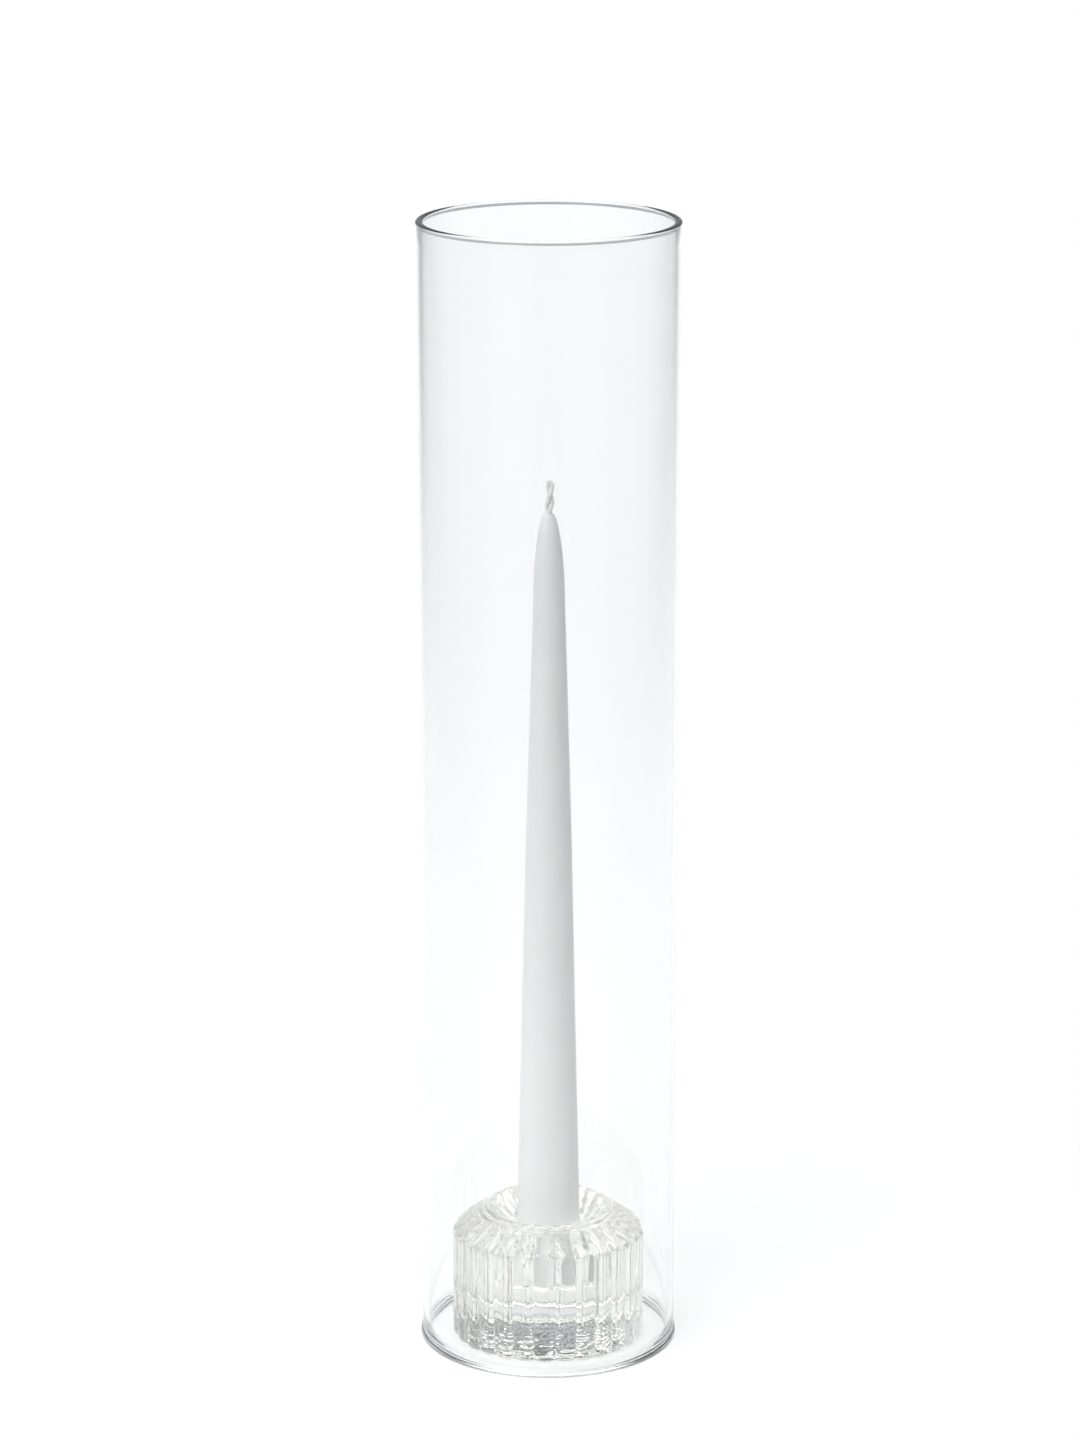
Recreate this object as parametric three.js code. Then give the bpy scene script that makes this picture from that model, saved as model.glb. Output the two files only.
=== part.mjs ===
// A hurricane candle lantern: a clear glass chimney, open at both ends, stands around a ribbed
// pressed-glass holder with a tall taper candle. Millimetres, +Z up. The origin is on the table at the
// centre of the foot, and one rib of the holder faces -Y.
import { Group, LatheGeometry, Mesh, MeshStandardMaterial, Vector2 } from 'three';

// Chimney: a straight tube whose two ends are melted into a rounded bead.
const CHIMNEY_HEIGHT = 440;
const CHIMNEY_OUTER_R = 49.2;
const CHIMNEY_INNER_R = 46.9;
const BEAD_OUTER_R = 50;
const BEAD_INNER_R = 46.7;
const BEAD_HALF_HEIGHT = 1.25;
const CHIMNEY_SIDES = 72;
const BEAD_ARC_STEPS = 3;

// Holder: convex ribs up the side and over the shoulder, and a smooth ring around the mouth.
const RIB_COUNT = 28;
const SIDES_PER_RIB = 4;
const RIB_CREST_R = 37.4;
const RIB_DEPTH = 1.25;
const KNEE_Z = 41;
const SHOULDER_TOP_R = 27.4;
const SHOULDER_TOP_Z = 50.4;
const RING_CREST_R = 23.6;
const RING_CREST_Z = 52.5;
const FUNNEL_R = 20.6;
const SOCKET_R = 12.75;
const SOCKET_MOUTH_Z = 44.2;
const SOCKET_FLOOR_Z = 23.8;
const DISH_R = 27;
const DISH_DEPTH = 1.6;
const FOOT_OUTER_R = 35;
const FOOT_ROUNDING = 2.6;
const KNEE_ROUNDING = 3.2;
const SHOULDER_LEAN = 50;
const RING_HALF_WIDTH = 1.7;

// Candle: a slightly bowed taper with a rounded, pointed top, and a bore for the wick.
const FIT_GAP = 0.3;
const CANDLE_BASE_Z = SOCKET_FLOOR_Z + FIT_GAP;
const CANDLE_LENGTH = 305;
const CANDLE_BASE_R = 12.3;
const CANDLE_BASE_EDGE = 0.8;
const CANDLE_BOW = 0.3;
const CANDLE_SHOULDER_R = 6.2;
const CANDLE_TIP_LENGTH = 36;
const CANDLE_TIP_R = 1.9;
const CANDLE_TIP_SLIMNESS = 1.2;
const CANDLE_SIDES = 40;

// Wick: two cotton plies twisted together, pressed round inside the wax.
const WICK_R = 1.25;
const WICK_EXPOSED = 13;
const WICK_LOBE = 0.45;
const WICK_TWIST_PITCH = 14;
const WICK_SIDES = 12;
const WICK_STEP = 1;

const DEGREE = Math.PI / 180;

// A point of an outline. Where a rib runs, depth is how far its valley lies below the crest, and lean
// is the angle of the surface's outward direction above the horizontal, in degrees.
function outlinePoint(radius, z, depth = 0, lean = 0) {
  return { radius, z, depth, lean };
}

// Turns an outline, followed upwards on its outer side, around the Z axis.
function turned(outline, sides) {
  const points = outline.map((point) => new Vector2(point.radius, point.z));
  const geometry = new LatheGeometry(points, sides);
  geometry.rotateX(Math.PI / 2);
  return geometry;
}

// Moves every vertex of a turned shape. place gets the vertex's outline point and its angle around Z,
// and gives its new { radius, z }.
function reshape(geometry, outline, place) {
  const position = geometry.attributes.position;
  for (let index = 0; index < position.count; index += 1) {
    const point = outline[index % outline.length];
    const side = Math.floor(index / outline.length);
    const angle = (side / geometry.parameters.segments) * 2 * Math.PI - Math.PI / 2;
    const { radius, z } = place(point, angle);
    position.setXYZ(index, radius * Math.cos(angle), radius * Math.sin(angle), z);
  }
  geometry.computeVertexNormals();
  return geometry;
}

function glass(tint, roughness) {
  return new MeshStandardMaterial({
    color: tint,
    roughness,
    metalness: 0,
    transparent: true,
    opacity: 0.35,
  });
}

function wax() {
  return new MeshStandardMaterial({ color: 0xe6e9e8, roughness: 0.45, metalness: 0 });
}

function waxedCotton() {
  return new MeshStandardMaterial({ color: 0xdcdcd6, roughness: 0.85, metalness: 0 });
}

// The outline of half an end bead: an arc of an ellipse from one angle to another, in degrees.
function beadArc(centreZ, from, to) {
  const centreR = (BEAD_OUTER_R + BEAD_INNER_R) / 2;
  const halfWidth = (BEAD_OUTER_R - BEAD_INNER_R) / 2;
  const points = [];
  for (let step = 0; step <= BEAD_ARC_STEPS; step += 1) {
    const angle = (from + ((to - from) * step) / BEAD_ARC_STEPS) * DEGREE;
    const radius = centreR + halfWidth * Math.cos(angle);
    points.push(outlinePoint(radius, centreZ + BEAD_HALF_HEIGHT * Math.sin(angle)));
  }
  return points;
}

// The rims are a little flat where they touch the table, so the arcs stop short of the lowest point.
function chimneyOutline() {
  const flatHalfAngle = 20;
  const footCentreZ = BEAD_HALF_HEIGHT * Math.cos(flatHalfAngle * DEGREE);
  const topCentreZ = CHIMNEY_HEIGHT - BEAD_HALF_HEIGHT * Math.cos(flatHalfAngle * DEGREE);
  const neckZ = 1.6;
  const outline = [
    ...beadArc(footCentreZ, flatHalfAngle - 90, 30),
    outlinePoint(CHIMNEY_OUTER_R, footCentreZ + neckZ),
    outlinePoint(CHIMNEY_OUTER_R, topCentreZ - neckZ),
    ...beadArc(topCentreZ, -30, 90 - flatHalfAngle),
    ...beadArc(topCentreZ, 90 + flatHalfAngle, 180),
    outlinePoint(CHIMNEY_INNER_R, topCentreZ - neckZ),
    outlinePoint(CHIMNEY_INNER_R, footCentreZ + neckZ),
    ...beadArc(footCentreZ, 180, 270 - flatHalfAngle),
  ];
  return [...outline, outline[0]];
}

function makeChimney() {
  const geometry = turned(chimneyOutline(), CHIMNEY_SIDES);
  return new Mesh(geometry, glass(0xf1f5f3, 0.05));
}

// The underside is a shallow dish inside the flat ring that the holder stands on.
function dishPoints() {
  const steps = 4;
  const points = [];
  for (let step = 0; step <= steps; step += 1) {
    const share = step / steps;
    points.push(outlinePoint(DISH_R * share, DISH_DEPTH * (1 - share * share)));
  }
  return points;
}

// From the middle of the underside, around the foot, up the ribs, over the ring and down into the
// socket.
function holderOutline() {
  return [
    ...dishPoints(),
    outlinePoint(FOOT_OUTER_R, 0, 0.6 * RIB_DEPTH),
    outlinePoint(RIB_CREST_R - 0.3 * FOOT_ROUNDING, 0.3 * FOOT_ROUNDING, 0.8 * RIB_DEPTH),
    outlinePoint(RIB_CREST_R, FOOT_ROUNDING, RIB_DEPTH),
    outlinePoint(RIB_CREST_R, KNEE_Z, RIB_DEPTH),
    outlinePoint(RIB_CREST_R - 0.5, KNEE_Z + 0.56 * KNEE_ROUNDING, RIB_DEPTH, SHOULDER_LEAN / 3),
    outlinePoint(RIB_CREST_R - 1.6, KNEE_Z + KNEE_ROUNDING, RIB_DEPTH, SHOULDER_LEAN),
    outlinePoint(SHOULDER_TOP_R, SHOULDER_TOP_Z, 0.6 * RIB_DEPTH, SHOULDER_LEAN),
    outlinePoint(SHOULDER_TOP_R - 1, SHOULDER_TOP_Z + 0.4),
    outlinePoint(RING_CREST_R + RING_HALF_WIDTH, RING_CREST_Z - 0.4),
    outlinePoint(RING_CREST_R, RING_CREST_Z),
    outlinePoint(RING_CREST_R - RING_HALF_WIDTH, RING_CREST_Z - 0.5),
    outlinePoint(FUNNEL_R, RING_CREST_Z - 2),
    outlinePoint(SOCKET_R + 1.5, SOCKET_MOUTH_Z + 1.2),
    outlinePoint(SOCKET_R, SOCKET_MOUTH_Z - 0.6),
    outlinePoint(SOCKET_R, SOCKET_FLOOR_Z),
    outlinePoint(0, SOCKET_FLOOR_Z),
  ];
}

// How deep a point at this angle lies between a rib's crest (0) and the valley beside it (1).
function valleyShare(angle) {
  const turns = ((angle + Math.PI / 2) / (2 * Math.PI)) * RIB_COUNT;
  const offset = 2 * Math.abs(turns - Math.round(turns));
  return offset * offset;
}

function makeHolder() {
  const outline = holderOutline();
  const geometry = turned(outline, RIB_COUNT * SIDES_PER_RIB);
  reshape(geometry, outline, (point, angle) => {
    const drop = point.depth * valleyShare(angle);
    return {
      radius: point.radius - drop * Math.cos(point.lean * DEGREE),
      z: point.z - drop * Math.sin(point.lean * DEGREE),
    };
  });
  return new Mesh(geometry, glass(0xf4f4f1, 0.03));
}

// The long sides bow outwards a little between the base and the start of the tip.
function candleSidePoints(shoulderZ) {
  const steps = 5;
  const points = [];
  for (let step = 0; step <= steps; step += 1) {
    const share = step / steps;
    const straight = CANDLE_BASE_R + (CANDLE_SHOULDER_R - CANDLE_BASE_R) * share;
    const radius = straight + 4 * CANDLE_BOW * share * (1 - share);
    points.push(outlinePoint(radius, SOCKET_MOUTH_Z + (shoulderZ - SOCKET_MOUTH_Z) * share));
  }
  return points;
}

// The tip narrows almost as an ellipse does, from the end of the long sides up to the wick.
function candleTipPoints(shoulderZ) {
  const steps = 7;
  const points = [];
  for (let step = 1; step <= steps; step += 1) {
    const share = step / steps;
    const height = CANDLE_TIP_LENGTH * Math.sin((share * Math.PI) / 2);
    const narrowing = Math.max(Math.cos((share * Math.PI) / 2), 0) ** CANDLE_TIP_SLIMNESS;
    const radius = CANDLE_TIP_R + (CANDLE_SHOULDER_R - CANDLE_TIP_R) * narrowing;
    points.push(outlinePoint(radius, shoulderZ + height));
  }
  return points;
}

function waxOutline() {
  const shoulderZ = CANDLE_BASE_Z + CANDLE_LENGTH - CANDLE_TIP_LENGTH;
  const tipZ = CANDLE_BASE_Z + CANDLE_LENGTH;
  const boreR = WICK_R + FIT_GAP;
  return [
    outlinePoint(boreR, CANDLE_BASE_Z),
    outlinePoint(CANDLE_BASE_R - CANDLE_BASE_EDGE, CANDLE_BASE_Z),
    outlinePoint(CANDLE_BASE_R, CANDLE_BASE_Z + CANDLE_BASE_EDGE),
    ...candleSidePoints(shoulderZ),
    ...candleTipPoints(shoulderZ),
    outlinePoint(boreR, tipZ),
    outlinePoint(boreR, CANDLE_BASE_Z),
  ];
}

function makeWax() {
  return new Mesh(turned(waxOutline(), CANDLE_SIDES), wax());
}

// A round cord inside the wax, then a twisted two-lobed one that closes to a blunt end.
function makeWick() {
  const exposedZ = CANDLE_BASE_Z + CANDLE_LENGTH;
  const topZ = exposedZ + WICK_EXPOSED;
  const footZ = CANDLE_BASE_Z + FIT_GAP;
  const outline = [
    outlinePoint(0, footZ),
    outlinePoint(WICK_R, footZ),
    outlinePoint(WICK_R, exposedZ),
  ];
  for (let z = exposedZ + WICK_STEP; z < topZ; z += WICK_STEP) {
    outline.push(outlinePoint(WICK_R, z, WICK_LOBE));
  }
  outline.push(outlinePoint(0.6 * WICK_R, topZ));
  outline.push(outlinePoint(0, topZ));
  const geometry = turned(outline, WICK_SIDES);
  reshape(geometry, outline, (point, angle) => {
    const twist = (2 * Math.PI * (point.z - exposedZ)) / WICK_TWIST_PITCH;
    return {
      radius: point.radius + point.depth * Math.cos(2 * (angle - twist)),
      z: point.z,
    };
  });
  return new Mesh(geometry, waxedCotton());
}

function add(group, name, mesh) {
  mesh.name = name;
  group.add(mesh);
}

const candle = new Group();
add(candle, 'taper_wax', makeWax());
add(candle, 'wick', makeWick());

const lantern = new Group();
add(lantern, 'glass_chimney', makeChimney());
add(lantern, 'candle_holder', makeHolder());
lantern.add(candle);

export default lantern;
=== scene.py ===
import math

import bpy
import numpy as np
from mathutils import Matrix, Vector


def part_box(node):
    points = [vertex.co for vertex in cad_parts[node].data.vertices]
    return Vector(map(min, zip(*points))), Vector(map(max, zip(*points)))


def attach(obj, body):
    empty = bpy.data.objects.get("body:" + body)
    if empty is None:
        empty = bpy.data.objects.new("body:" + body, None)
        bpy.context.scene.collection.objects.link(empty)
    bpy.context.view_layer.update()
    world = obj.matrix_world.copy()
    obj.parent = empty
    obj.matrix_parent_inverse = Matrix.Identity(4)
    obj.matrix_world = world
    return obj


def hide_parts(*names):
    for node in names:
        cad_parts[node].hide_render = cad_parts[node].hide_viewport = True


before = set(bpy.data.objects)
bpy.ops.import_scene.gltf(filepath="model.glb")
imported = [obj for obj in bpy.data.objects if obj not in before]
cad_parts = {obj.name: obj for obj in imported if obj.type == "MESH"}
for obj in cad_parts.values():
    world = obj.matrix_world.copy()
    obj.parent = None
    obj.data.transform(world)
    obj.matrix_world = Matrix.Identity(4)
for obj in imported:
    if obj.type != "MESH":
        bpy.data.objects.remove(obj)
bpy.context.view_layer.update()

SEED = 7
MM = 0.001


# ---------------------------------------------------------------------------------------------------
# Driving sizes, in metres, taken from the CAD model where it has them

CHIMNEY_LOW, CHIMNEY_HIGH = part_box("glass_chimney")
HOLDER_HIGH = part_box("candle_holder")[1]
WAX_LOW, WAX_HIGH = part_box("taper_wax")
WICK_LOW, WICK_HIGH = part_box("wick")

BEAD_OUTER_R = CHIMNEY_HIGH.y
BEAD_INNER_R = BEAD_OUTER_R - 3.3 * MM
BEAD_HALF_HEIGHT = 0.85 * MM
BEAD_NECK = 1.2 * MM
FOOT_BEAD_BULGE = 0.8 * MM
MOUTH_BEAD_BULGE = 0.3 * MM
CHIMNEY_TOP = CHIMNEY_HIGH.z
CHIMNEY_WALL = 2.3 * MM
CHIMNEY_OUTER_R = BEAD_OUTER_R - FOOT_BEAD_BULGE
CHIMNEY_INNER_R = CHIMNEY_OUTER_R - CHIMNEY_WALL
CHIMNEY_UNEVENNESS = 0.12 * MM
CHIMNEY_SIDES = 288

RIB_COUNT = 28
RIB_CREST_R = HOLDER_HIGH.x
RIB_DEPTH = 1.5 * MM
SHOULDER_RIB_SHARE = 0.55
SIDES_PER_RIB = 16
HOLDER_TOP = HOLDER_HIGH.z
KNEE_Z = 43.2 * MM
SHOULDER_TOP_R = 27.2 * MM
SHOULDER_TOP_Z = 50.6 * MM
SHOULDER_ROUNDING = 0.8 * MM
RING_R = 2.3 * MM
RING_CENTRE_R = 23.6 * MM
RING_FOOT_RISE = 0.7 * MM
FUNNEL_R = 20.4 * MM
FUNNEL_TOP_DEPTH = 2.2 * MM
FUNNEL_ROUNDING = 1.5 * MM
SOCKET_R = 12.75 * MM
SOCKET_MOUTH_Z = 44.2 * MM
SOCKET_MOUTH_ROUNDING = 1.2 * MM
SOCKET_FLOOR_Z = 23.8 * MM
SOCKET_FLOOR_ROUNDING = 3 * MM
DISH_R = 27 * MM
DISH_DEPTH = 1.6 * MM
DISH_FLUTES = 0.3 * MM
FOOT_ROUNDING = 2.8 * MM
KNEE_ROUNDING = 4.5 * MM
VALLEY_SOFTNESS = 0.06
OUTSIDE_WAVES = 0.08 * MM
OUTSIDE_WAVE_LENGTHS = (5 * MM, 14 * MM)
INSIDE_WAVES = 0.4 * MM
INSIDE_WAVE_LENGTHS = (3.5 * MM, 9 * MM)
HOLDER_GRID = 1.5 * MM

CANDLE_BASE_R = WAX_HIGH.x
CANDLE_BASE_ROUNDING = 3.4 * MM
CANDLE_BORE_R = 0.7 * MM
CANDLE_BOW = 0.3 * MM
CANDLE_SHOULDER_R = 6.2 * MM
CANDLE_TIP_LENGTH = 36 * MM
CANDLE_TIP_R = 1.55 * MM
CANDLE_TIP_SLIMNESS = 1.2
CANDLE_UNEVENNESS = 0.05 * MM
CANDLE_WAVE_LENGTHS = (18 * MM, 60 * MM)
CANDLE_SIDES = 128
WICK_PLY_R = 0.92 * MM
WICK_PLY_SPACING = 1.72 * MM
WICK_PITCH = 14 * MM
WICK_LEAN = 0.5 * MM
YARNS_PER_PLY = 6
YARN_PITCH = 7 * MM
WICK_FIBRES = 34


# ---------------------------------------------------------------------------------------------------
# Outlines and surfaces of revolution

def arc(centre, radius, start, end, steps):
    """Points of an arc from start to end, in degrees; radius may be (across, up) for an ellipse."""
    across, up = radius if isinstance(radius, tuple) else (radius, radius)
    angles = np.radians(np.linspace(start, end, steps + 1))
    return [(centre[0] + across * math.cos(a), centre[1] + up * math.sin(a)) for a in angles]


def rounded(corners, steps=8):
    """The polyline through corners (radius, z, fillet), each corner rounded by an arc of its fillet."""
    points = []
    for index, (r, z, fillet) in enumerate(corners):
        here = np.array([r, z])
        if fillet == 0 or index in (0, len(corners) - 1):
            points.append(tuple(here))
            continue
        before = np.array(corners[index - 1][:2]) - here
        after = np.array(corners[index + 1][:2]) - here
        before /= np.linalg.norm(before)
        after /= np.linalg.norm(after)
        half = math.acos(np.clip(before @ after, -1, 1)) / 2
        reach = fillet / math.tan(half)
        bisector = (before + after) / np.linalg.norm(before + after)
        centre = here + bisector * fillet / math.sin(half)
        first, last = here + before * reach - centre, here + after * reach - centre
        angle = math.atan2(first[0] * last[1] - first[1] * last[0], first @ last)
        for turn in np.linspace(0, angle, steps + 1):
            c, s = math.cos(turn), math.sin(turn)
            x, y = c * first[0] - s * first[1], s * first[0] + c * first[1]
            points.append((centre[0] + x, centre[1] + y))
    return points


def divided(points, longest):
    """The same polyline with no segment longer than longest."""
    result = [points[0]]
    for start, end in zip(points, points[1:]):
        start, end = np.array(start), np.array(end)
        parts = max(1, math.ceil(np.linalg.norm(end - start) / longest))
        result += [tuple(start + (end - start) * part / parts) for part in range(1, parts + 1)]
    return result


def mesh_object(name, vertices, faces):
    mesh = bpy.data.meshes.new(name)
    mesh.from_pydata([tuple(v) for v in vertices], [], faces)
    mesh.validate()
    mesh.polygons.foreach_set("use_smooth", [True] * len(mesh.polygons))
    obj = bpy.data.objects.new(name, mesh)
    bpy.context.scene.collection.objects.link(obj)
    return obj


def revolved(name, outline, sides, place):
    """A surface turned about Z from an outline that goes up on its outer side. The outline starts and
    ends on the axis, or is a loop. place(radius, z, angle) gives a moved radius and z for the grid."""
    outline = np.array(outline)
    loop = outline[0, 0] > 0
    angle = np.linspace(0, 2 * math.pi, sides, endpoint=False) - math.pi / 2
    radius = np.repeat(outline[:, :1], sides, axis=1)
    z = np.repeat(outline[:, 1:], sides, axis=1)
    radius, z = place(radius, z, angle[None, :])
    grid = np.stack([radius * np.cos(angle), radius * np.sin(angle), z], axis=2)
    vertices, first = [], []
    for row, (r, _) in enumerate(outline):
        first.append(len(vertices))
        vertices += list(grid[row]) if r > 0 else [grid[row].mean(axis=0)]
    faces = []
    rows = len(outline)
    for row in range(rows if loop else rows - 1):
        after = (row + 1) % rows
        for side in range(sides):
            turn = (side + 1) % sides
            a = first[row] + (side if outline[row, 0] > 0 else 0)
            b = first[row] + (turn if outline[row, 0] > 0 else 0)
            c = first[after] + (turn if outline[after, 0] > 0 else 0)
            d = first[after] + (side if outline[after, 0] > 0 else 0)
            corners = [v for i, v in enumerate((a, b, c, d)) if v not in (a, b, c, d)[:i]]
            faces.append(corners)
    return mesh_object(name, vertices, faces)


def smoothstep(low, high, value):
    share = np.clip((value - low) / (high - low), 0, 1)
    return share * share * (3 - 2 * share)


# ---------------------------------------------------------------------------------------------------
# Materials

GLASS_IOR = 1.5
GLASS_WAVE_HEIGHT = 0.02 * MM
WAX_IOR = 1.44
WAX_COLOURS = ((0.76, 0.775, 0.77), (0.81, 0.82, 0.815))
WAX_ROUGHNESS = (0.38, 0.5)
WAX_GRAIN_HEIGHT = 0.03 * MM
WAX_SCATTER_DISTANCE = 2.5 * MM
COTTON_COLOURS = ((0.62, 0.61, 0.58), (0.98, 0.98, 0.96))
COTTON_ROUGHNESS = (0.75, 0.45)
COTTON_STREAK_HEIGHT = 0.05 * MM


class Nodes:
    """A short way to write a node tree."""

    def __init__(self, tree):
        self.tree = tree
        tree.nodes.clear()

    def add(self, kind, **settings):
        node = self.tree.nodes.new(kind)
        for name, value in settings.items():
            if hasattr(node, name):
                setattr(node, name, value)
            else:
                node.inputs[name.replace("_", " ").title()].default_value = value
        return node

    def link(self, source, target):
        self.tree.links.new(source, target)


def new_material(name):
    material = bpy.data.materials.new(name)
    material.use_nodes = True
    return material, Nodes(material.node_tree)


def noise(nodes, scale, detail, stretch=(1, 1, 1)):
    """Noise in the object's own space; scale is in features per metre."""
    place = nodes.add("ShaderNodeTexCoord")
    mapping = nodes.add("ShaderNodeMapping")
    mapping.inputs["Scale"].default_value = stretch
    nodes.link(place.outputs["Object"], mapping.inputs["Vector"])
    texture = nodes.add("ShaderNodeTexNoise")
    texture.inputs["Scale"].default_value = scale
    texture.inputs["Detail"].default_value = detail
    nodes.link(mapping.outputs["Vector"], texture.inputs["Vector"])
    return texture.outputs["Fac"]


def ranged(nodes, value, low, high):
    """Maps a 0 to 1 value onto low to high."""
    node = nodes.add("ShaderNodeMapRange")
    node.inputs["To Min"].default_value = low
    node.inputs["To Max"].default_value = high
    nodes.link(value, node.inputs["Value"])
    return node.outputs["Result"]


def bump(nodes, height, distance):
    node = nodes.add("ShaderNodeBump")
    node.inputs["Distance"].default_value = distance
    nodes.link(height, node.inputs["Height"])
    return node.outputs["Normal"]


def mapped(nodes, value, source, target):
    """Maps source (low, high) onto target (low, high) with a soft start and end."""
    node = nodes.add("ShaderNodeMapRange", interpolation_type="SMOOTHSTEP")
    node.inputs["From Min"].default_value, node.inputs["From Max"].default_value = source
    node.inputs["To Min"].default_value, node.inputs["To Max"].default_value = target
    nodes.link(value, node.inputs["Value"])
    return node.outputs["Result"]


def calculated(nodes, operation, *values):
    """One step of arithmetic on numbers and other nodes' values."""
    node = nodes.add("ShaderNodeMath", operation=operation)
    for value, socket in zip(values, node.inputs):
        if isinstance(value, (int, float)):
            socket.default_value = value
        else:
            nodes.link(value, socket)
    return node.outputs["Value"]


def added(nodes, first, second):
    return calculated(nodes, "ADD", first, second)


def vector_length(nodes, vector):
    node = nodes.add("ShaderNodeVectorMath", operation="LENGTH")
    nodes.link(vector, node.inputs[0])
    return node.outputs["Value"]


def blended(nodes, share, first, second):
    """A colour between two, by share."""
    mix = nodes.add("ShaderNodeMix", data_type="RGBA")
    mix.inputs["A"].default_value = (*first, 1)
    mix.inputs["B"].default_value = (*second, 1)
    nodes.link(share, mix.inputs["Factor"])
    return mix.outputs["Result"]


def glass_material(name, tint, density, wave_scale, roughest):
    """Clear glass with a faint body colour, a slightly uneven surface and uneven polish."""
    material, nodes = new_material(name)
    shader = nodes.add("ShaderNodeBsdfPrincipled")
    shader.inputs["Base Color"].default_value = (1, 1, 1, 1)
    shader.inputs["Transmission Weight"].default_value = 1.0
    shader.inputs["IOR"].default_value = GLASS_IOR
    polish = noise(nodes, 60, 3)
    nodes.link(ranged(nodes, polish, 0.0, roughest), shader.inputs["Roughness"])
    waves = noise(nodes, wave_scale, 2, stretch=(1, 1, 0.25))
    nodes.link(bump(nodes, waves, GLASS_WAVE_HEIGHT), shader.inputs["Normal"])
    body = nodes.add("ShaderNodeVolumeAbsorption")
    body.inputs["Color"].default_value = (*tint, 1)
    body.inputs["Density"].default_value = density
    out = nodes.add("ShaderNodeOutputMaterial")
    nodes.link(shader.outputs["BSDF"], out.inputs["Surface"])
    nodes.link(body.outputs["Volume"], out.inputs["Volume"])
    return material


def wax_material():
    """Satin white wax, faintly mottled, which lets a little light through."""
    material, nodes = new_material("satin_wax")
    shader = nodes.add("ShaderNodeBsdfPrincipled")
    nodes.link(blended(nodes, noise(nodes, 90, 4), *WAX_COLOURS), shader.inputs["Base Color"])
    nodes.link(ranged(nodes, noise(nodes, 300, 3), *WAX_ROUGHNESS), shader.inputs["Roughness"])
    nodes.link(bump(nodes, noise(nodes, 900, 3), WAX_GRAIN_HEIGHT), shader.inputs["Normal"])
    shader.inputs["Subsurface Weight"].default_value = 0.35
    shader.inputs["Subsurface Radius"].default_value = (1.0, 0.95, 0.9)
    shader.inputs["Subsurface Scale"].default_value = WAX_SCATTER_DISTANCE
    shader.inputs["IOR"].default_value = WAX_IOR
    out = nodes.add("ShaderNodeOutputMaterial")
    nodes.link(shader.outputs["BSDF"], out.inputs["Surface"])
    return material


def cotton_material():
    """Waxed cotton: light and dark fibres that run along each ply's twist."""
    material, nodes = new_material("waxed_cotton")
    shader = nodes.add("ShaderNodeBsdfPrincipled")
    place = nodes.add("ShaderNodeAttribute", attribute_name="fibre")
    streaks = nodes.add("ShaderNodeTexNoise")
    streaks.inputs["Scale"].default_value = 9.0
    streaks.inputs["Detail"].default_value = 4.0
    streaks.inputs["Roughness"].default_value = 0.7
    nodes.link(place.outputs["Vector"], streaks.inputs["Vector"])
    light = mapped(nodes, streaks.outputs["Fac"], (0.32, 0.62), (0.0, 1.0))
    nodes.link(blended(nodes, light, *COTTON_COLOURS), shader.inputs["Base Color"])
    nodes.link(ranged(nodes, streaks.outputs["Fac"], *COTTON_ROUGHNESS), shader.inputs["Roughness"])
    nodes.link(bump(nodes, streaks.outputs["Fac"], COTTON_STREAK_HEIGHT), shader.inputs["Normal"])
    out = nodes.add("ShaderNodeOutputMaterial")
    nodes.link(shader.outputs["BSDF"], out.inputs["Surface"])
    return material


# ---------------------------------------------------------------------------------------------------
# Pieces

def chimney_outline():
    low_z, high_z = CHIMNEY_LOW.z + BEAD_HALF_HEIGHT, CHIMNEY_TOP - BEAD_HALF_HEIGHT
    foot, foot_bead = bead_section(BEAD_OUTER_R, low_z)
    mouth, mouth_bead = bead_section(CHIMNEY_OUTER_R + MOUTH_BEAD_BULGE, high_z)
    outside = [(CHIMNEY_OUTER_R, low_z + BEAD_NECK), (CHIMNEY_OUTER_R, high_z - BEAD_NECK)]
    inside = [(CHIMNEY_INNER_R, high_z - BEAD_NECK), (CHIMNEY_INNER_R, low_z + BEAD_NECK)]
    longest = 6 * MM
    return (
        arc(foot, foot_bead, -90, 40, 9)
        + divided(outside, longest)
        + arc(mouth, mouth_bead, -40, 200, 16)
        + divided(inside, longest)
        + arc(foot, foot_bead, 160, 260, 7)
    )


def bead_section(outer_r, z):
    """The centre and the half sizes of a fire-polished bead that reaches out to outer_r."""
    return ((outer_r + BEAD_INNER_R) / 2, z), ((outer_r - BEAD_INNER_R) / 2, BEAD_HALF_HEIGHT)


def chimney_place(radius, z, angle):
    """Drawn tube isn't perfect: the inside of its wall is uneven by about a tenth of a millimetre."""
    rng = np.random.default_rng(SEED)
    inner = radius < (CHIMNEY_OUTER_R + CHIMNEY_INNER_R) / 2
    uneven = np.zeros_like(angle)
    for waves in (3, 5, 8, 13, 21):
        phase = rng.uniform(0, 2 * math.pi)
        uneven = uneven + np.cos(waves * angle + phase) / waves
    start, full = 3 * MM, 12 * MM
    clear_of_beads = smoothstep(start, full, z) * smoothstep(start, full, CHIMNEY_TOP - z)
    return radius + inner * clear_of_beads * uneven * CHIMNEY_UNEVENNESS, z


def make_chimney():
    obj = revolved("chimney_tube", chimney_outline(), CHIMNEY_SIDES, chimney_place)
    obj.data.materials.append(
        glass_material("clear_tube", (0.72, 0.86, 0.8), density=22, wave_scale=25, roughest=0.015)
    )
    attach(obj, "chimney")
    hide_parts("glass_chimney")


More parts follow.
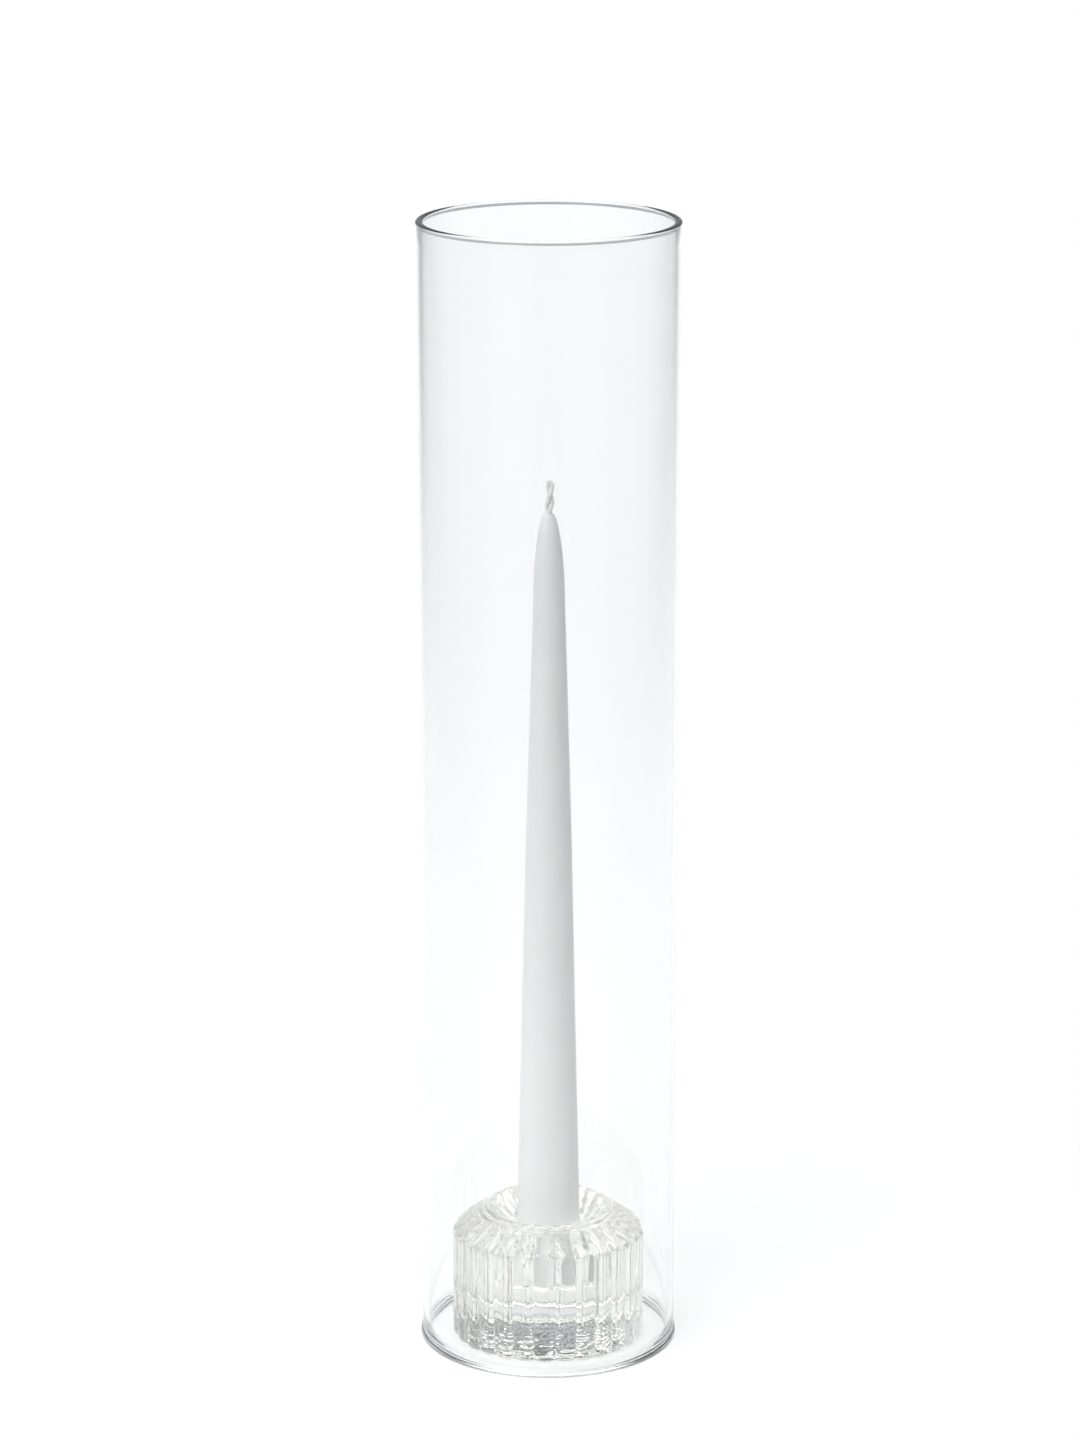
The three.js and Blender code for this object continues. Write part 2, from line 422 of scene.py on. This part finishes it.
def holder_outline():
    ring_z = HOLDER_TOP - RING_R
    shares = np.linspace(0, 1, 16)[:-1]
    dish = [(DISH_R * share, DISH_DEPTH * (1 - share**2)) for share in shares]
    outer = dish + rounded([
        (DISH_R, 0, 0),
        (RIB_CREST_R, 0, FOOT_ROUNDING),
        (RIB_CREST_R, KNEE_Z, KNEE_ROUNDING),
        (SHOULDER_TOP_R, SHOULDER_TOP_Z, SHOULDER_ROUNDING),
        (RING_CENTRE_R + RING_R, ring_z + RING_FOOT_RISE, 0),
    ])
    ring = arc((RING_CENTRE_R, ring_z), RING_R, 20, 135, 12)
    inner = rounded([
        ring[-1] + (0,),
        (FUNNEL_R, HOLDER_TOP - FUNNEL_TOP_DEPTH, FUNNEL_ROUNDING),
        (SOCKET_R, SOCKET_MOUTH_Z, SOCKET_MOUTH_ROUNDING),
        (SOCKET_R, SOCKET_FLOOR_Z, SOCKET_FLOOR_ROUNDING),
        (0, SOCKET_FLOOR_Z, 0),
    ])
    return divided(outer[:-1] + ring + inner[1:], HOLDER_GRID)


def waviness(seed, shortest, longest):
    """A smooth random field over space: waves in random directions, shortest to longest in length."""
    count = 24
    rng = np.random.default_rng(seed)
    headings = rng.normal(size=(count, 3))
    headings /= np.linalg.norm(headings, axis=1)[:, None]
    numbers = 2 * math.pi / rng.uniform(shortest, longest, size=(count, 1)) * headings
    phases = rng.uniform(0, 2 * math.pi, size=count)

    def field(x, y, z):
        total = 0
        for (a, b, c), phase in zip(numbers, phases):
            total = total + np.sin(a * x + b * y + c * z + phase)
        return total / math.sqrt(count / 2)

    return field


def rib_profile(angle):
    """How deep the glass lies between a rib's crest, 0, and the rounded valley beside it, 1."""
    share = (angle + math.pi / 2) / (2 * math.pi) * RIB_COUNT
    to_valley = 1 - 2 * np.abs(share - np.round(share))
    softened = 1 - np.sqrt(to_valley**2 + VALLEY_SOFTNESS**2)
    return (softened / (1 - VALLEY_SOFTNESS))**2


def rib_drop(radius, angle):
    """How far the glass lies below the ribs' crests: less on the shoulder, and nothing at its top."""
    fade = smoothstep(SHOULDER_TOP_R - 0.4 * MM, SHOULDER_TOP_R + 1.6 * MM, radius)
    to_knee = smoothstep(SHOULDER_TOP_R, RIB_CREST_R - 2 * MM, radius)
    share = SHOULDER_RIB_SHARE + (1 - SHOULDER_RIB_SHARE) * to_knee
    return RIB_DEPTH * fade * share * rib_profile(angle)


def flute_depth(radius, angle):
    """How high the radial flutes of the underside rise between the ribs."""
    return DISH_FLUTES * smoothstep(3 * MM, 22 * MM, radius) * (1 - np.cos(RIB_COUNT * angle)) / 2


def holder_place(outline):
    """Presses the ribs into the outside: each valley lies below the crest along the surface's normal.
    The glass is also a little wavy, most of all inside, where the plunger left it."""
    points = np.array(outline)
    along = np.gradient(points, axis=0)
    lean = np.clip(np.arctan2(-along[:, 0], along[:, 1]), 0, math.pi / 2)[:, None]
    across, up = along[:, 1:2], -along[:, 0:1]
    length = np.hypot(across, up)
    across, up = across / length, up / length
    outside = waviness(SEED, *OUTSIDE_WAVE_LENGTHS)
    inside = waviness(SEED + 1, *INSIDE_WAVE_LENGTHS)

    def place(radius, z, angle):
        x, y = radius * np.cos(angle), radius * np.sin(angle)
        under = smoothstep(DISH_R, DISH_R - 3 * MM, radius) * (z < 2 * DISH_DEPTH)
        inner = np.maximum(under, smoothstep(RING_CENTRE_R, FUNNEL_R, radius))
        clear_of_axis = smoothstep(0, 6 * MM, radius)
        clear_of_foot = np.maximum(smoothstep(0, 1.5 * MM, z), under)
        wave = -OUTSIDE_WAVES * (1 - inner) * (1 + np.tanh(outside(x, y, z))) / 2
        wave = wave - INSIDE_WAVES * inner * clear_of_axis * (1 + np.tanh(inside(x, y, z))) / 2
        wave = wave * clear_of_foot
        drop = rib_drop(radius, angle)
        new_radius = radius - drop * np.cos(lean) + wave * across
        new_z = z - drop * np.sin(lean) + wave * up + under * flute_depth(radius, angle)
        return new_radius, new_z

    return place


def make_holder():
    outline = holder_outline()
    obj = revolved("holder_body", outline, RIB_COUNT * SIDES_PER_RIB, holder_place(outline))
    obj.data.materials.append(
        glass_material("pressed_crystal", (0.94, 0.935, 0.925), density=25, wave_scale=150, roughest=0.02)
    )
    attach(obj, "holder")
    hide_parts("candle_holder")


def wax_outline():
    """A slightly bowed taper, a tip that narrows almost as an ellipse does, and a bore for the wick."""
    tip_z, shoulder_z = WAX_HIGH.z, WAX_HIGH.z - CANDLE_TIP_LENGTH
    foot = rounded([
        (CANDLE_BORE_R, WAX_LOW.z, 0),
        (CANDLE_BASE_R, WAX_LOW.z, CANDLE_BASE_ROUNDING),
        (CANDLE_BASE_R, SOCKET_MOUTH_Z, 0),
    ])
    side, tip = [], []
    for share in np.linspace(0, 1, 70)[1:]:
        straight = CANDLE_BASE_R + (CANDLE_SHOULDER_R - CANDLE_BASE_R) * share
        bowed = straight + 4 * CANDLE_BOW * share * (1 - share)
        side.append((bowed, SOCKET_MOUTH_Z + (shoulder_z - SOCKET_MOUTH_Z) * share))
    for share in np.linspace(0, 1, 40)[1:]:
        narrowing = max(math.cos(share * math.pi / 2), 0) ** CANDLE_TIP_SLIMNESS
        radius = CANDLE_TIP_R + (CANDLE_SHOULDER_R - CANDLE_TIP_R) * narrowing
        tip.append((radius, shoulder_z + CANDLE_TIP_LENGTH * math.sin(share * math.pi / 2)))
    bore_top, bore_foot = (CANDLE_BORE_R, tip_z - 0.4 * MM), (CANDLE_BORE_R, WAX_LOW.z + MM)
    return divided(foot, 4 * MM) + side + tip + divided([bore_top, bore_foot], 20 * MM)


def wax_place(radius, z, angle):
    """A poured candle is a few hundredths of a millimetre uneven."""
    field = waviness(SEED + 2, *CANDLE_WAVE_LENGTHS)
    outside = smoothstep(1.0 * MM, 1.4 * MM, radius)
    x, y = radius * np.cos(angle), radius * np.sin(angle)
    return radius + CANDLE_UNEVENNESS * outside * field(x, y, 0.4 * z), z


def make_wax():
    obj = revolved("candle_body", wax_outline(), CANDLE_SIDES, wax_place)
    obj.data.materials.append(wax_material())
    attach(obj, "candle")
    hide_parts("taper_wax")


def swept(centres, section):
    """The points and faces of a closed tube through centres; section(i) gives its ring of
    (across, up) offsets at centre i."""
    centres = np.array(centres)
    along = np.gradient(centres, axis=0)
    along /= np.linalg.norm(along, axis=1)[:, None]
    vertices, faces = [], []
    count = len(section(0))
    for index, (centre, forward) in enumerate(zip(centres, along)):
        side = np.cross(forward, (0.0, 1.0, 0.0))
        side /= np.linalg.norm(side)
        other = np.cross(side, forward)
        vertices += [centre + a * side + b * other for a, b in section(index)]
    for ring in range(len(centres) - 1):
        for k in range(count):
            a, b = ring * count + k, ring * count + (k + 1) % count
            faces.append((b, a, a + count, b + count))
    faces.append(tuple(range(count)))
    faces.append(tuple(reversed(range((len(centres) - 1) * count, len(centres) * count))))
    return vertices, faces


def store_fibres(obj, places):
    """Keeps a place at each point of a mesh, where the cotton's material reads its streaks."""
    layer = obj.data.attributes.new("fibre", "FLOAT_VECTOR", "POINT")
    layer.data.foreach_set("vector", np.array(places, dtype=np.float32).ravel())


def wick_centre(height, ply):
    """Where the middle of a ply is at a height: the two lie side by side a quarter pitch above the wax,
    come closer together towards the top, and the whole wick leans a little."""
    above = height - WAX_HIGH.z
    turn = 2 * math.pi * (above / WICK_PITCH - 0.25) + ply * math.pi
    closing = 1 - 0.25 * smoothstep(5 * MM, 12 * MM, above)
    inside = 0.8 + 0.2 * smoothstep(-3 * MM, 1 * MM, above)
    spread = WICK_PLY_SPACING / 2 * closing * inside
    lean = WICK_LEAN * smoothstep(0, 9 * MM, above)
    return np.stack([spread * np.cos(turn) + lean, spread * np.sin(turn), height], axis=-1)


def ring_of(radius, angles):
    """The (across, up) offsets of a ring."""
    return list(zip(radius * np.cos(angles), radius * np.sin(angles)))


def make_ply(ply, cotton):
    """One ply of the wick: yarns twisted together, a little thinner at the end."""
    top_z = WICK_HIGH.z - (0.7 + 0.5 * ply) * MM
    seen_from_z = WAX_HIGH.z - 6 * MM
    heights = np.concatenate([
        np.arange(WICK_LOW.z, seen_from_z, 1.5 * MM),
        np.arange(seen_from_z, top_z, 0.16 * MM),
    ])
    angles = np.linspace(0, 2 * math.pi, 48, endpoint=False)
    field = waviness(SEED + 4 + ply, 0.5 * MM, 2 * MM)

    def section(index):
        height = heights[index]
        ending = 1 - 0.4 * smoothstep(top_z - 1.2 * MM, top_z, height) ** 2
        twisted = angles - 2 * math.pi * height / YARN_PITCH
        lobes = 0.82 + 0.18 * np.abs(np.cos(YARNS_PER_PLY * twisted / 2))
        rough = 1 + 0.06 * field(WICK_PLY_R * np.cos(angles), WICK_PLY_R * np.sin(angles), height)
        return ring_of(WICK_PLY_R * ending * lobes * rough, angles)

    vertices, faces = swept(wick_centre(heights, ply), section)
    obj = mesh_object(f"wick_ply_{ply + 1}", vertices, faces)
    store_fibres(obj, fibres_along_twist(angles, heights))
    finish_wick_piece(obj, cotton)


def fibres_along_twist(angles, heights):
    """A place for each point of a ply that is the same all along one of its twisted fibres, and changes
    only slowly with height."""
    twisted = angles[None, :] - 2 * math.pi * heights[:, None] / YARN_PITCH
    along = np.broadcast_to(heights[:, None] / (8 * MM), twisted.shape)
    return np.stack([np.cos(twisted), np.sin(twisted), along], axis=2)


def make_fibres(cotton):
    """Loose cotton fibres at the wick's end."""
    rng = np.random.default_rng(SEED + 6)
    vertices, faces, places = [], [], []
    angles = np.linspace(0, 2 * math.pi, 6, endpoint=False)
    steps = np.linspace(0, 1, 9)
    for _ in range(WICK_FIBRES):
        start = wick_centre(WICK_HIGH.z - rng.uniform(1.2, 2.6) * MM, rng.integers(2))
        rise = WICK_HIGH.z - rng.uniform(0.05, 1.0) * MM - start[2]
        heading = rng.uniform(0, 2 * math.pi)
        flare = rng.uniform(0.3, 0.95) * MM
        curl = rng.uniform(-0.12, 0.12) * MM
        across = flare * math.cos(heading) * steps**2 + curl * np.sin(5 * steps)
        aside = flare * math.sin(heading) * steps**2
        centres = start + np.stack([across, aside, rise * steps], axis=1)
        thickness = rng.uniform(0.06, 0.11) * MM
        radii = thickness * (1 - 0.6 * steps)
        points, sides = swept(centres, lambda index: ring_of(radii[index], angles))
        faces += [tuple(v + len(vertices) for v in face) for face in sides]
        vertices += points
        places += [(rng.uniform(), rng.uniform(), 0)] * len(points)
    obj = mesh_object("wick_fibres", vertices, faces)
    store_fibres(obj, places)
    finish_wick_piece(obj, cotton)


def finish_wick_piece(obj, cotton):
    obj.data.materials.append(cotton)
    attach(obj, "candle")
    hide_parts("wick")


def make_wick():
    cotton = cotton_material()
    make_ply(0, cotton)
    make_ply(1, cotton)
    make_fibres(cotton)


# ---------------------------------------------------------------------------------------------------
# Stage, light and camera

FLOOR_HALF_WIDTH = 8.0
FLOOR_NEAR_Y = -6.0
FLOOR_FAR_Y = 12.0
# Painted shade on the floor: darker with distance in front of the lantern and beside it
PAINTED_SHADE_SPREAD = 0.16
PAINTED_SHADE_RAMP = (0.18, 1.2)
FLOOR_WHITE_TO_PAINTED_SHADE = (0.87, 0.38)
# Painted light on the floor: a whiter disc under the lantern, inside the tube's ring
PAINTED_LIGHT_DISC_WHITE = 0.98
PAINTED_LIGHT_DISC_EDGE = (0.047, 0.052)
FLOOR_ROUGHNESS = 0.1
FLOOR_GLOSS = 0.12
BACK_RAMP = (-0.5, 0.3)
BACK_WALL = (0.4, 0.415, 0.435)
FRONT_WALL = (0.3, 0.315, 0.335)
WALL_TOP = (0.42, 0.56)
WALL_ABOVE = 0.2
SIDE_LIGHT = (1.5, 0.6)
TOP_RAMP = (0.65, 0.9)
TOP_LIGHT = 2.55
LAMP_TOWARDS = (-0.55, -0.85, 0.45)
LAMP_HALF_ANGLE = 28
LAMP_LIGHT = 1.9


def floor_painted_light_and_shade(nodes):
    """White, with a painted pool of light: a little whiter in a disc under the lantern, where the glass
    shades the floor; and painted shade: darker with distance in front of it and beside it, where only the
    glass reflects the floor; not behind it."""
    place = nodes.add("ShaderNodeTexCoord").outputs["Object"]
    split = nodes.add("ShaderNodeSeparateXYZ")
    nodes.link(place, split.inputs["Vector"])
    behind = calculated(nodes, "MAXIMUM", split.outputs["Y"], 0.0)
    before = calculated(nodes, "MAXIMUM", calculated(nodes, "MULTIPLY", split.outputs["Y"], -1.0), 0.0)
    across = calculated(nodes, "ABSOLUTE", split.outputs["X"])
    aside = calculated(nodes, "MULTIPLY_ADD", behind, -PAINTED_SHADE_SPREAD, across)
    aside = calculated(nodes, "MAXIMUM", aside, 0.0)
    apart = nodes.add("ShaderNodeCombineXYZ")
    nodes.link(before, apart.inputs["X"])
    nodes.link(aside, apart.inputs["Y"])
    # painted shade: the floor's white falls off with distance in front and beside
    shade = mapped(nodes, vector_length(nodes, apart.outputs["Vector"]), PAINTED_SHADE_RAMP, FLOOR_WHITE_TO_PAINTED_SHADE)
    # painted light: a whiter disc under the lantern, where the glass shades the floor
    painted_disc_light = (PAINTED_LIGHT_DISC_WHITE - FLOOR_WHITE_TO_PAINTED_SHADE[0], 0)
    return added(nodes, shade, mapped(nodes, vector_length(nodes, place), PAINTED_LIGHT_DISC_EDGE, painted_disc_light))


def make_floor():
    """A glossy white table top, whose colour carries painted light and painted shade."""
    z = CHIMNEY_LOW.z - 0.1 * MM
    near = [(-FLOOR_HALF_WIDTH, FLOOR_NEAR_Y, z), (FLOOR_HALF_WIDTH, FLOOR_NEAR_Y, z)]
    far = [(FLOOR_HALF_WIDTH, FLOOR_FAR_Y, z), (-FLOOR_HALF_WIDTH, FLOOR_FAR_Y, z)]
    floor = mesh_object("floor", near + far, [(0, 1, 2, 3)])
    material, nodes = new_material("floor_white_painted_light_and_shade")
    shade = floor_painted_light_and_shade(nodes)
    colour = nodes.add("ShaderNodeCombineColor")
    for channel in ("Red", "Green", "Blue"):
        nodes.link(shade, colour.inputs[channel])
    white = nodes.add("ShaderNodeBsdfDiffuse")
    nodes.link(colour.outputs["Color"], white.inputs["Color"])
    gloss = nodes.add("ShaderNodeBsdfGlossy")
    gloss.inputs["Color"].default_value = (1, 1, 1, 1)
    gloss.inputs["Roughness"].default_value = FLOOR_ROUGHNESS
    mix = nodes.add("ShaderNodeMixShader")
    mix.inputs["Fac"].default_value = FLOOR_GLOSS
    nodes.link(white.outputs["BSDF"], mix.inputs[1])
    nodes.link(gloss.outputs["BSDF"], mix.inputs[2])
    out = nodes.add("ShaderNodeOutputMaterial")
    nodes.link(mix.outputs["Shader"], out.inputs["Surface"])
    floor.data.materials.append(material)


def lamp(nodes, direction):
    """A round soft light on the left in front: it fades out over the last part of its half angle."""
    dot = nodes.add("ShaderNodeVectorMath", operation="DOT_PRODUCT")
    dot.inputs[1].default_value = np.array(LAMP_TOWARDS) / np.linalg.norm(LAMP_TOWARDS)
    nodes.link(direction, dot.inputs[0])
    edges = (math.cos(math.radians(LAMP_HALF_ANGLE)), math.cos(math.radians(LAMP_HALF_ANGLE * 0.6)))
    return mapped(nodes, dot.outputs["Value"], edges, (0.0, LAMP_LIGHT))


def make_world():
    """The room: grey walls, brighter at the left, darker above, then a bright top and one soft lamp."""
    world = bpy.data.worlds.new("studio")
    bpy.context.scene.world = world
    world.use_nodes = True
    nodes = Nodes(world.node_tree)
    direction = nodes.add("ShaderNodeTexCoord").outputs["Generated"]
    split = nodes.add("ShaderNodeSeparateXYZ")
    nodes.link(direction, split.inputs["Vector"])
    towards_back = mapped(nodes, split.outputs["Y"], BACK_RAMP, (0.0, 1.0))
    walls = blended(nodes, towards_back, FRONT_WALL, BACK_WALL)
    from_side = mapped(nodes, split.outputs["X"], (-1.0, 1.0), SIDE_LIGHT)
    above = mapped(nodes, split.outputs["Z"], WALL_TOP, (1.0, WALL_ABOVE))
    overhead = mapped(nodes, split.outputs["Z"], TOP_RAMP, (0.0, TOP_LIGHT))
    lights = added(nodes, overhead, lamp(nodes, direction))
    white = nodes.add("ShaderNodeCombineXYZ")
    for axis in "XYZ":
        nodes.link(lights, white.inputs[axis])
    scaled = nodes.add("ShaderNodeVectorMath", operation="SCALE")
    nodes.link(walls, scaled.inputs[0])
    nodes.link(calculated(nodes, "MULTIPLY", from_side, above), scaled.inputs["Scale"])
    total = nodes.add("ShaderNodeVectorMath", operation="ADD")
    nodes.link(scaled.outputs["Vector"], total.inputs[0])
    nodes.link(white.outputs["Vector"], total.inputs[1])
    background = nodes.add("ShaderNodeBackground")
    nodes.link(total.outputs["Vector"], background.inputs["Color"])
    out = nodes.add("ShaderNodeOutputWorld")
    nodes.link(background.outputs["Background"], out.inputs["Surface"])


def make_camera():
    """The photographer's place: a long lens, a little above the lantern, looking down at it."""
    distance, height = 1.703, 0.711
    pitch, yaw = math.radians(15.2), math.radians(0.109)
    turn = math.radians(2.6)
    lens = 115.98
    camera = bpy.data.cameras.new("camera")
    camera.lens = lens
    camera.sensor_width = 36
    camera.sensor_fit = "AUTO"
    camera.clip_end = 50
    obj = bpy.data.objects.new("camera", camera)
    obj.location = (distance * math.sin(turn), -distance * math.cos(turn), height)
    obj.rotation_euler = (math.pi / 2 - pitch, 0, turn + yaw)
    bpy.context.scene.collection.objects.link(obj)
    bpy.context.scene.camera = obj


def set_look():
    """Plain tones, and enough bounces for light to pass through all the glass walls unblurred."""
    scene = bpy.context.scene
    scene.view_settings.view_transform = "Standard"
    scene.cycles.max_bounces = 32
    scene.cycles.transmission_bounces = 32
    scene.cycles.glossy_bounces = 12
    scene.cycles.sample_clamp_indirect = 6
    scene.cycles.blur_glossy = 0.0


make_camera()
make_floor()
make_world()
set_look()
make_chimney()
make_holder()
make_wax()
make_wick()
